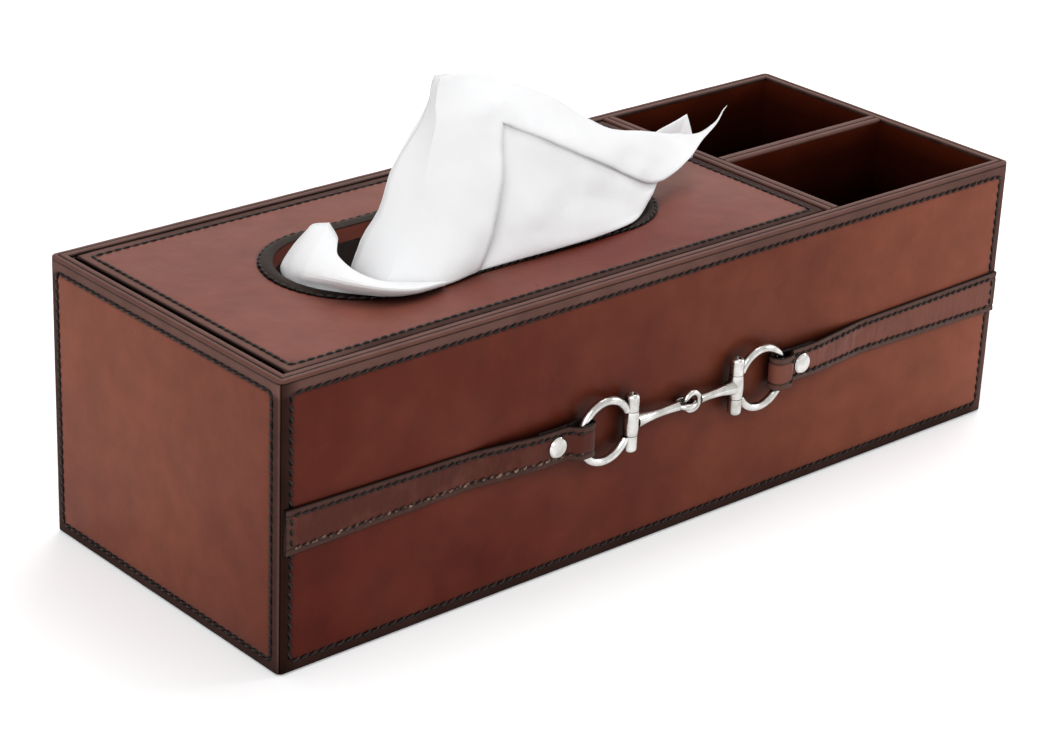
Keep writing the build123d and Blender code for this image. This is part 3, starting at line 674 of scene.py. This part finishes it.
def lid_top():
    """The lid's leather, sewn round its edge and round its slot."""
    rays = lid_rays()
    outer = np.concatenate([[0, 0], np.arange(0.12, 7, 0.42) * MM])
    inner = np.concatenate([[0, 0], np.arange(0.2, 6.2, 0.45) * MM])
    shares = np.linspace(0, 1, 22)[1:-1]
    grid, margin, tone, seam = [], [], [], []
    middle_x = (lid_low.x + lid_high.x) / 2
    half_x, half_y = (lid_high.x - lid_low.x) / 2, lid_high.y
    seam_box = half_x - STITCH_INSET, half_y - STITCH_INSET
    # A level lies at a share of the way in from the edge, and a distance beyond that.
    levels = [(0, d) for d in outer]
    levels += [(share, outer[-1] - share * (outer[-1] + inner[-1])) for share in shares]
    levels += [(1, -d) for d in inner[::-1]]
    for number, (share, distance) in enumerate(levels):
        for (ix, iy), (ox, oy) in rays:
            t = share + distance / hypot(ox - ix, oy - iy)
            x, y = ox + t * (ix - ox), oy + t * (iy - oy)
            edge = -rounded_box_distance(x - middle_x, y, half_x, half_y, 1.5 * MM)
            sewn = rounded_box_distance(x - middle_x, y, *seam_box, STITCH_CORNER)
            ring = hypot(max(abs(x - slot_x) - slot_straight, 0), y) - slot_outer
            rise = -rolled(max(edge, 0), EDGE_ROLL) - 0.24 * MM * valley(sewn, 0.6 * MM)
            rise -= 0.22 * MM * valley(ring - 0.1 * MM, 0.6 * MM)
            if sewn < 0:
                calm = min(1, -sewn / (8 * MM)) * min(1, max(ring, 0) / (8 * MM))
                rise += 0.16 * MM * unevenness((x, y, 0), 42 * MM, 5.0) * calm
            z = lid_high.z + rise
            if number == 0 or number == len(levels) - 1:
                z = lid_low.z
            grid.append((x, y, z))
            margin.append(beyond(sewn + 0.2 * MM, 0.35 * MM))
            # Painted light: the field is lighter towards the right end, with painted shade in front of the
            # slot where the pulled tissue shades the lid; the margin is lighter at the left end and towards
            # the back, a painted sheen.
            if margin[-1] < 0.5:
                painted_light = valley(x + 5 * MM, 60 * MM) * valley(y + 44 * MM, 22 * MM)
                tone.append(0.68 + 0.2 * smooth(x / half_x) - 0.62 * painted_light)
            else:
                tone.append(0.28 + 0.8 * smooth(-(x - middle_x) / half_x * 3 - 2) + 0.25 * smooth(y / half_y))
            # The seam grooves go dark, and the lid's outer edge is painted black as painted shade in the gap
            # to the rim.
            sewn_rows = max(valley(sewn, 0.5 * MM), valley(ring - 0.3 * MM, 0.6 * MM))
            seam.append(0.9 * max(sewn_rows, valley(edge, 0.75 * MM)))
    faces = [face[::-1] for face in grid_faces(len(levels), len(rays), closed=True)]
    piece = make_piece(
        "lid_top", grid, faces, lid_finish, "lid", border_finish, margin=margin, tone=tone, seam=seam
    )
    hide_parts("lid_leather")
    outline = rounded_outline(*seam_box, STITCH_CORNER)
    line = [(x + middle_x, y, lid_high.z - 0.1 * MM) for x, y in outline]
    stitches("lid_edge_stitches", line, [(0, 0, 1)] * len(line), "lid", seed=11, closed=True, askew=8)
    line = [(x, y, lid_high.z + 0.2 * MM) for x, y in stadium_outline(slot_outer - 0.05 * MM)]
    stitches("slot_stitches", line, [(0, 0, 1)] * len(line), "lid", seed=12, closed=True)


lid_top()


# ---- straps

STRAP_THICK = 1.2 * MM
WIDE, NARROW = 15.5 * MM, 12.0 * MM  # a strap's width at its sewn end and at the rivet
STRAP_SEAM = 2.2 * MM  # from a strap's edge to its seam
STRAP_STITCHES = {"pitch": 3.2 * MM, "long": 2.8 * MM}


def rounded_route(points, radii, step):
    """A route in plan along straight runs whose corners are rounded, as places and headings."""
    points = np.array(points, float)
    start, places = points[0], [points[0]]

    def straight(end):
        parts = max(2, ceil(np.linalg.norm(end - start) / step))
        return [start + (end - start) * t for t in np.linspace(0, 1, parts)[1:]]

    for before, here, after, radius in zip(points, points[1:], points[2:], radii):
        u, v = (here - before) / np.linalg.norm(here - before), (after - here) / np.linalg.norm(after - here)
        turn = atan2(u[0] * v[1] - u[1] * v[0], u @ v)
        cut = radius * tan(abs(turn) / 2)
        first, last = here - cut * u, here + cut * v
        places += straight(first)
        side = np.array([-u[1], u[0]]) * (1 if turn > 0 else -1)
        centre = first + radius * side
        for t in np.linspace(0, turn, max(3, ceil(abs(turn) / radians(9))))[1:]:
            places.append(centre + Matrix.Rotation(t, 2) @ Vector(first - centre))
        places[-1] = last
        start = last
    places = np.array(places + straight(points[-1]))
    headings = np.gradient(places, axis=0)
    return places, headings / np.linalg.norm(headings, axis=1)[:, None]


def strap_route(side, name):
    """The middle of a strap's leather in plan: along the face, out over the ring, round it and back."""
    face = -half_depth
    low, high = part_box(f"strap_{name}")
    end = max(abs(low.x), abs(high.x))
    tip = min(abs(low.x), abs(high.x)) + STRAP_THICK / 2
    bit = abs(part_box("hinge_pin_left")[0].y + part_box("hinge_pin_left")[1].y) / 2 - half_depth
    turn = (abs(low.y) - half_depth) - bit - STRAP_THICK / 2
    rivet_low, rivet_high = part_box(f"strap_rivet_{name}")
    rivet = abs(rivet_low.x + rivet_high.x) / 2
    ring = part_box(f"bit_ring_{name}")
    past_ring = max(abs(ring[0].x), abs(ring[1].x)) + 0.55 * MM
    lands = rivet - (rivet_high.x - rivet_low.x) / 2 - 0.9 * MM
    seam = abs(rivet_low.y) - half_depth - 0.9 * MM - STRAP_THICK - 0.03 * MM
    front_leg, back_leg = seam + 0.63 * MM, seam - 0.63 * MM
    points = [
        (end, STRAP_THICK / 2),
        (rivet + 34 * MM, STRAP_THICK / 2),
        (rivet + 8 * MM, front_leg),
        (lands, front_leg),
        (past_ring, bit + turn),
        (tip, bit + turn),
        (tip, bit - turn),
        (past_ring, bit - turn),
        (lands, back_leg),
        (rivet + 7 * MM, back_leg),
    ]
    radii = [r * MM for r in (40, 20, 2, 3)] + [0.98 * turn] * 2 + [20 * MM] * 2
    places, headings = rounded_route([(side * x, face - y) for x, y in points], radii, 1.0 * MM)
    return places, headings, rivet, end


def strap(side):
    """A creased strap, sewn along both edges, whose end is folded round the ring of the bit."""
    name = "left" if side < 0 else "right"
    places, headings, rivet, end = strap_route(side, name)
    outward = np.stack([headings[:, 1], -headings[:, 0]], axis=1) * (-side)
    offsets = np.array([0, 0.08, 0.2, 0.42, 0.8, 1.2, 1.6, 1.9, 2.2, 2.5, 2.8, 3.3, 4.1]) * MM
    run = run_along(places)
    grid, margin, seam, tops = [], [], [], {-1: [], 1: []}
    for place, out, at in zip(places, outward, run):
        x = abs(place[0])
        share = np.clip((x - rivet) / (end - rivet), 0, 1)
        width = NARROW + (WIDE - NARROW) * share
        inner = np.linspace(offsets[-1], width - offsets[-1], 6)[1:-1]
        across = np.concatenate([offsets, inner, width - offsets[::-1]])
        row, shade, groove = [], [], []
        bent = valley(x - 84 * MM, 26 * MM)
        for w in across:
            from_edge = min(w, width - w)
            sewn = from_edge - STRAP_SEAM
            end_line = at - STRAP_SEAM
            rise = STRAP_THICK / 2 - rolled(from_edge, 0.42 * MM) - 0.24 * MM * valley(sewn, 0.45 * MM)
            if sewn > 0:
                rise -= 0.2 * MM * valley(end_line, 0.45 * MM)
            spot = (place[0] * 3.2, w * 0.45 + side, 0.3)
            crease = abs(unevenness(spot, 9 * MM, 2.0))
            rise -= (0.05 + 0.30 * bent) * MM * valley(crease, 0.12) * min(1, from_edge / (1.5 * MM))
            rise += 0.10 * MM * unevenness((place[0], w, 0), 5 * MM, 4.0) * min(1, from_edge / MM)
            row.append((w - width / 2, rise))
            shade.append(beyond(0.1 * MM - min(sewn, end_line), 0.25 * MM))
            groove.append(max(0.75 * valley(sewn, 0.35 * MM), 0.95 * valley(from_edge, 0.3 * MM)))
        row += [(width / 2, -0.3 * MM), (width / 2 - 0.4 * MM, -STRAP_THICK / 2)]
        row += [(-width / 2 + 0.4 * MM, -STRAP_THICK / 2), (-width / 2, -0.3 * MM)]
        shade += [1, 1, 1, 1]
        groove += [0.95] * 4
        for w, rise in row:
            grid.append((*(place + rise * out), level + w))
        margin += shade
        seam += groove
        if x > rivet - 10 * MM and at < end - rivet + 12 * MM:
            for edge in (-1, 1):
                if at > STRAP_SEAM:
                    spot = place + (STRAP_THICK / 2 - 0.12 * MM) * out
                    tops[edge].append(((*spot, level + edge * (width / 2 - STRAP_SEAM)), (*out, 0)))
    columns = len(row)
    faces = grid_faces(len(places), columns, closed=True)
    faces.append(tuple(range(columns)))
    faces.append(tuple((len(places) - 1) * columns + k for k in range(columns))[::-1])
    if side > 0:
        faces = [f[::-1] for f in faces]
    # Painted light: the right strap is lighter than the left, as the front is painted lighter towards its
    # right end.
    tone = [0.45 if side > 0 else -0.05] * len(margin)
    piece = make_piece(
        f"strap_{name}_leather", grid, faces, strap_finish, "case", margin=margin, tone=tone, seam=seam
    )
    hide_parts(f"strap_{name}")
    for edge, word in ((-1, "lower"), (1, "upper")):
        line, normals = zip(*tops[edge])
        # The left strap's lower seam has painted glints.
        finish = glint_painted_thread if edge < 0 and side < 0 else thread
        stitches(
            f"strap_{name}_{word}_stitches", line, normals, "case",
            seed=21, askew=26, finish=finish, **STRAP_STITCHES,
        )
    x = side * (end - STRAP_SEAM)
    z = np.linspace(level - WIDE / 2 + 2.4 * MM, level + WIDE / 2 - 2.4 * MM, 12)
    line = [(x, -half_depth - STRAP_THICK + 0.12 * MM, h) for h in z]
    normals = [(0, -1, 0)] * len(line)
    stitches(f"strap_{name}_end_stitches", line, normals, "case", seed=23, **STRAP_STITCHES)


for side in (-1, 1):
    strap(side)


# ---- the pulled tissue


def smooth_line(points, steps):
    """A curve through the points, each stretch of it in the same number of steps, over the first axis."""
    p = np.asarray(points, float)
    p = np.concatenate([2 * p[:1] - p[1:2], p, 2 * p[-1:] - p[-2:-1]])
    t = (np.arange(steps) / steps).reshape(-1, *([1] * (p.ndim - 1)))
    stretches = [
        0.5 * (2 * b + (c - a) * t + (2 * a - 5 * b + 4 * c - d) * t**2 + (3 * b - a - 3 * c + d) * t**3)
        for a, b, c, d in zip(p[:-3], p[1:-2], p[2:-1], p[3:])
    ]
    return np.concatenate([*stretches, p[-2:-1]])


def smooth_net(net, steps, folds):
    """A dense surface through a net of points. Its columns turn sharply at the folds."""
    dense = smooth_line(np.asarray(net, float) * MM, steps)
    columns = np.swapaxes(dense, 0, 1)
    cuts = [0, *folds, len(columns) - 1]
    parts = [smooth_line(columns[a : b + 1], steps)[:-1] for a, b in zip(cuts[:-1], cuts[1:])]
    return np.swapaxes(np.concatenate([*parts, columns[-1:]]), 0, 1)


STEPS = 7

# Each row runs from the left edge of the sheet to its pointed right corner, and the rows climb from the slot.
front_net = [
    [
        (-72, -5, 67), (-70, -9, 67), (-60, -11, 67), (-48, -12, 67), (-32, -11, 67), (-16, -9, 67),
        (-2, -9, 67), (8, -8, 67), (14, -7, 67), (18, -6, 67),
    ],
    [
        (-84, -1, 88), (-86, -13, 88), (-72, -17, 88), (-56, -17, 88), (-32, -16, 89), (-8, -14, 90),
        (10, -12, 91), (20, -11, 93), (28, -10, 95), (34, -9, 97),
    ],
    [
        (-88.5, -1.5, 95), (-93, -20.5, 97), (-78.5, -25.7, 100.3), (-61, -25.8, 100.4), (-35, -22, 97),
        (-9, -19, 96), (11, -16, 95), (23, -13, 97), (33, -11, 99.5), (42, -9.5, 103),
    ],
    [
        (-91, -2, 100), (-96, -24, 101), (-80, -33.3, 101), (-62, -31.4, 101.2), (-36, -26, 101),
        (-10, -23, 100), (12, -19, 98), (26, -15, 100), (38, -12, 104), (50, -10, 110),
    ],
    [
        (-81.5, -3, 120), (-79, -18, 114), (-70, -26.8, 115.4), (-53.8, -29.1, 114.6), (-28, -23, 111),
        (-4, -20, 106), (18, -17, 101), (34, -14, 104), (48, -11, 109), (60, -9, 116),
    ],
    [
        (-74, -3, 132.5), (-71.5, -14, 128.5), (-62.5, -21.8, 129.9), (-48, -24.4, 129.7), (-24, -21, 121),
        (0, -19, 112), (23, -17, 104), (40, -14, 106), (54, -10, 112), (66, -8, 119.5),
    ],
    [
        (-66, -4, 143), (-66.6, -12, 144), (-56.5, -17, 144.4), (-44, -18.8, 143.7), (-22.5, -21.8, 133),
        (0.9, -21.3, 120.9), (27, -18, 107.6), (47, -13, 108.8), (59, -9, 114.6), (72.8, -7, 123.2),
    ],
    [
        (-62.3, -4, 152), (-63.5, -9, 153), (-52.7, -13, 152.3), (-41, -15.5, 150), (-17, -15, 137.6),
        (8.5, -14.2, 124.7), (35.5, -10.5, 112.8), (54, -9, 112), (62, -8, 116), (73, -7, 123.4),
    ],
    [
        (-61, -5, 159.5), (-61, -8, 160), (-49.6, -9, 159.3), (-35.3, -8, 154), (-11.4, -8, 143.2),
        (13.7, -6, 127.1), (40.7, -3, 119), (59, -4, 114.9), (64.7, -7, 118.3), (73.2, -7, 123.6),
    ],
]
FRONT_FOLD = 3  # the column where the near layer ends, with only its top band going on to the right
BAND_ROW = 6  # the row that is the lower edge of that band

# The layer behind it starts at the same left edge, passes behind and rests on the binding to the right.
back_net = [
    [
        (-72, -4, 67), (-56, -9, 67), (-44, -13, 67), (-32, -14, 67), (-18, -14, 67), (-6, -13, 67),
        (2, -9, 67),
    ],
    [
        (-84, 0, 88), (-64, -11, 89), (-46, -18, 90), (-28, -20, 90), (-8, -20, 91), (8, -17, 92),
        (14, -9, 92),
    ],
    [
        (-88.5, -1, 95), (-65, -25.7, 100.3), (-46, -25.8, 100.4), (-29, -25.8, 100.4), (-9, -25.8, 100.4),
        (8.5, -24.8, 100), (18, -13, 96),
    ],
    [
        (-91, -1.5, 100), (-66, -30.2, 100.9), (-46, -31.4, 101), (-29, -32, 101), (-9, -31.6, 101),
        (10, -28.2, 101.1), (22, -16, 99.5),
    ],
    [
        (-81.5, -2.5, 120), (-61, -22, 112), (-46, -28.6, 109.5), (-27, -30, 107), (-5, -29.6, 104.6),
        (16, -25, 102.9), (32, -13.5, 103),
    ],
    [
        (-74, -2.5, 132.5), (-56, -14, 128), (-46, -23.5, 122.5), (-25, -25.8, 116.5), (-1, -25.8, 109.8),
        (22.5, -20.8, 105), (41, -8, 107),
    ],
    [
        (-64.4, -3.5, 147), (-54, -10, 146), (-43.5, -17, 143), (-22, -20.2, 132.5), (1.2, -19.7, 120.5),
        (27, -16.2, 107.4), (47, -3, 112),
    ],
    [
        (-61, -4.5, 159.4), (-49.6, -9, 159), (-35.3, -7.6, 153.7), (-11.4, -7.6, 142.9),
        (13.7, -5.6, 126.8), (40.7, -3, 118.6), (56, -3, 115.5),
    ],
]

corner_net = [
    [(40, -2, 108), (52, -1, 106), (61, -2, 105)],
    [(43, 0, 113), (57, 2, 112), (62.5, -1, 109.5)],
    [(46.6, 2, 116.2), (63.3, 4, 119.1), (63.4, 1, 113)],
]

# The near corner, curled over at the slot's left end. Its rows climb from inside the slot to a free edge.
curl_net = [
    [
        (-88, 8, 70), (-90, 2, 70), (-88, -5, 70), (-84, -10, 70), (-78, -13, 70), (-72, -14, 70),
        (-66, -14, 70), (-60, -14, 70),
    ],
    [
        (-102, 13, 88), (-106, 4, 88), (-105, -7, 88), (-101, -14, 89), (-95, -18, 90), (-86, -19, 90),
        (-77, -19, 90), (-68, -19, 90),
    ],
    [
        (-106.5, 13.5, 93.5), (-111, 4, 93.5), (-111, -6.2, 94), (-108.5, -14.8, 95.5),
        (-104.4, -20.6, 99.8), (-97.8, -24.2, 100.2), (-91.3, -25.6, 100.3), (-80, -25.8, 100.3),
    ],
    [
        (-108, 14, 98), (-112.6, 4, 98.6), (-113, -6, 99.4), (-111, -15.3, 100.8), (-106.7, -23.7, 101),
        (-100.3, -31.2, 101), (-92, -34.2, 100.8), (-80, -34.2, 100.8),
    ],
    [
        (-104.5, 13, 104), (-111, 4, 104), (-113.4, -6, 105), (-112.3, -16.3, 106.5),
        (-109.6, -25.3, 106.8), (-103, -33.2, 105.8), (-93.3, -36.2, 104), (-80, -35.8, 102.6),
    ],
    [
        (-101, 10, 110.4), (-100.3, 8, 113), (-97.3, 3.5, 114.2), (-97, -2, 110.6), (-101.5, -6.5, 108.5),
        (-100.5, -13, 104.4), (-97.5, -24.5, 103.4), (-82, -33.8, 102.2),
    ],
]


def pulled_tissue():
    """The sheet drawn up through the slot, its layers made from nets of points, lightly crumpled."""
    points, faces = [], []
    for net, folds in ((front_net, (1, FRONT_FOLD)), (back_net, (1,)), (corner_net, (1,)), (curl_net, (2,))):
        dense = smooth_net(net, STEPS, folds)
        rows, columns = dense.shape[:2]
        for quad in grid_faces(rows, columns):
            r, c = divmod(quad[0], columns)
            if net is not front_net or r >= BAND_ROW * STEPS or c < FRONT_FOLD * STEPS:
                faces.append(tuple(len(points) + i for i in quad))
        points += [tuple(p) for p in dense.reshape(-1, 3)]
    crumpled = []
    for p in points:
        high = min(1.0, max(0.0, (p[2] - 101 * MM) / (12 * MM)))
        away = Vector([unevenness(p, size * MM, seed) for size, seed in ((17, 1.0), (13, 7.0), (19, 9.0))])
        crease = abs(unevenness(p, 26 * MM, 3.0)) + 0.5 * abs(unevenness(p, 12 * MM, 5.0))
        ridge = Vector((0.4, -1.0, 0.3)) * (crease - 0.3) * 2.2 * MM
        crumpled.append(tuple(Vector(p) + (away * 0.5 * MM + ridge) * high))
    piece = make_piece("tissue_sheet", crumpled, faces, paper, "tissue")
    mesh = piece.data
    work = bmesh.new()
    work.from_mesh(mesh)
    bmesh.ops.delete(work, geom=[v for v in work.verts if not v.link_faces], context="VERTS")
    work.to_mesh(mesh)
    work.free()
    mesh.set_sharp_from_angle(angle=radians(24))
    thick = piece.modifiers.new("thickness", "SOLIDIFY")
    thick.thickness = 0.22 * MM
    thick.offset = 0.0
    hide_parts("pulled_tissue")


pulled_tissue()


def folded_stack():
    """The interfolded pack: a soft block whose sides show the folds."""
    low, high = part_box("tissue_stack")
    centre = (low + high) / 2
    half = (high - low) / 2
    layers = 26
    outline = rounded_outline(half.x, half.y, 4 * MM, 2 * MM)
    dense = []
    for a, b in zip(outline, np.roll(outline, -1, axis=0)):
        parts = max(1, round(np.linalg.norm(b - a) / (4 * MM)))
        dense += [a + (b - a) * k / parts for k in range(parts)]
    dense = np.array(dense)
    grid = []
    for k in range(4 * layers + 1):
        share = k / (4 * layers)
        pinch = 0.55 * MM * (0.5 - 0.5 * cos(2 * pi * share * layers))
        z = low.z + share * (high.z - low.z)
        for x, y in dense:
            inward = 1 - (pinch + 0.5 * MM * (0.5 + 0.5 * unevenness((x, y, z), 9 * MM))) / half.y
            grid.append((centre.x + x * inward, y * inward, z))
    for shrink in (0.97, 0.9, 0.7, 0.4, 0.1):
        for x, y in dense:
            dip = 0.6 * MM * unevenness((x * shrink, y * shrink, 0), 25 * MM)
            grid.append((centre.x + x * shrink, y * shrink, high.z + dip * (1 - shrink) * 3))
    around = len(dense)
    faces = grid_faces(len(grid) // around, around, closed=True)
    faces.append(tuple(range(around))[::-1])
    faces.append(tuple(range(len(grid) - around, len(grid))))
    piece = make_piece("folded_tissues", grid, faces, paper, "case")
    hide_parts("tissue_stack")


folded_stack()


# ---- finishes of the CAD nodes

# The first row with a word that is in a node's name says its finish.
FINISHES = (
    (("_board", "lid_ledge"), board_finish),
    (("bay_", "lid_lining"), suede_finish),
    (("base_felt",), felt_finish),
    (("well",), well_finish),
    (("slot_wall_lining",), slot_wall_finish),
    (("bit_", "hinge_pin", "strap_rivet"), metal),
    (("slot_binding",), slot_finish),
    (("",), rim_finish),
)
for name, node in nodes.items():
    node.data.materials.clear()
    node.data.materials.append(next(f for words, f in FINISHES if any(word in name for word in words)))


# ---- floor, light and camera

FLOOR = 4.0  # half its side
# Each lamp's name, place, size in metres and watts.
LAMPS = (
    ("key", (0.7, 0.45, 1.6), 1.0, 15.0),
    ("side", (1.7, -0.8, 0.7), 0.5, 8.5),
    ("fill", (-1.15, -0.9, 1.1), 1.2, 18.5),
)


def seen_directly(tree):
    """1 for what the camera sees straight, in metal or through glass."""
    path = add(tree, "ShaderNodeLightPath")
    total = path.outputs["Is Camera Ray"]
    for name in ("Is Glossy Ray", "Is Transmission Ray"):
        total = arithmetic(tree, "MAXIMUM", total, path.outputs[name])
    return total


def studio():
    """A white floor that keeps the object's shadow and glows with painted light that fades towards the
    object, a white surround and three soft lamps.
    """
    mesh = bpy.data.meshes.new("floor")
    corners = [(x * FLOOR, y * FLOOR, 0) for x, y in ((-1, -1), (1, -1), (1, 1), (-1, 1))]
    mesh.from_pydata(corners, [], [(0, 1, 2, 3)])
    floor = bpy.data.objects.new("floor", mesh)
    bpy.context.scene.collection.objects.link(floor)
    floor.location.z = -0.02 * MM
    made, tree, shader, place = new_material(
        "floor", Base_Color=(0.86,) * 3, Roughness=0.9, Specular_IOR_Level=0.1, Emission_Color=(1, 1, 1)
    )
    # Painted light: the floor glows for the camera and in reflections, less near the box, so that the box's
    # shadow shows there.
    away = add(tree, "ShaderNodeVectorMath", {0: place}, operation="LENGTH").outputs["Value"]
    reach = {"Value": away, "From Min": 0.24, "From Max": 1.1, "To Min": 0.2, "To Max": 0.9}
    far = add(tree, "ShaderNodeMapRange", reach).outputs["Result"]
    painted_light = arithmetic(tree, "MULTIPLY", seen_directly(tree), far)
    tree.links.new(painted_light, shader.inputs["Emission Strength"])
    mesh.materials.append(made)

    world = bpy.data.worlds.new("surround")
    bpy.context.scene.world = world
    world.use_nodes = True
    tree = world.node_tree
    sky = tree.nodes["Background"]
    sky.inputs["Color"].default_value = (1, 1, 1, 1)
    levels = {"Value": seen_directly(tree), "To Min": 0.6, "To Max": 1.0}
    strength = add(tree, "ShaderNodeMapRange", levels).outputs["Result"]
    tree.links.new(strength, sky.inputs["Strength"])

    for name, place, size, power in LAMPS:
        lamp = bpy.data.lights.new(name, "AREA")
        lamp.size = size
        lamp.energy = power
        holder = bpy.data.objects.new(name, lamp)
        holder.location = place
        holder.rotation_euler = (Vector((0, 0, 0.05)) - Vector(place)).to_track_quat("-Z", "Y").to_euler()
        bpy.context.scene.collection.objects.link(holder)


def camera():
    """The photograph's camera, from its place, heading, downward tilt, roll and focal length."""
    place = Vector((-628.5, -678.4, 449.9)) * MM
    heading, down, roll = radians(-42.24), radians(24.01), radians(2.51)
    ahead = Vector((-sin(heading) * cos(down), cos(heading) * cos(down), -sin(down)))
    right = ahead.cross(Vector((0, 0, 1))).normalized()
    up = right.cross(ahead)
    right, up = cos(roll) * right + sin(roll) * up, cos(roll) * up - sin(roll) * right
    lens = bpy.data.cameras.new("camera")
    lens.sensor_fit, lens.sensor_width = "HORIZONTAL", 36.0
    lens.lens = 98.86
    lens.clip_start, lens.clip_end = 0.05, 30.0
    holder = bpy.data.objects.new("camera", lens)
    turn = Matrix((right, up, -ahead)).transposed().to_4x4()
    holder.matrix_world = Matrix.Translation(place) @ turn
    bpy.context.scene.collection.objects.link(holder)
    bpy.context.scene.camera = holder


studio()
camera()
bpy.context.scene.view_settings.view_transform = "Standard"
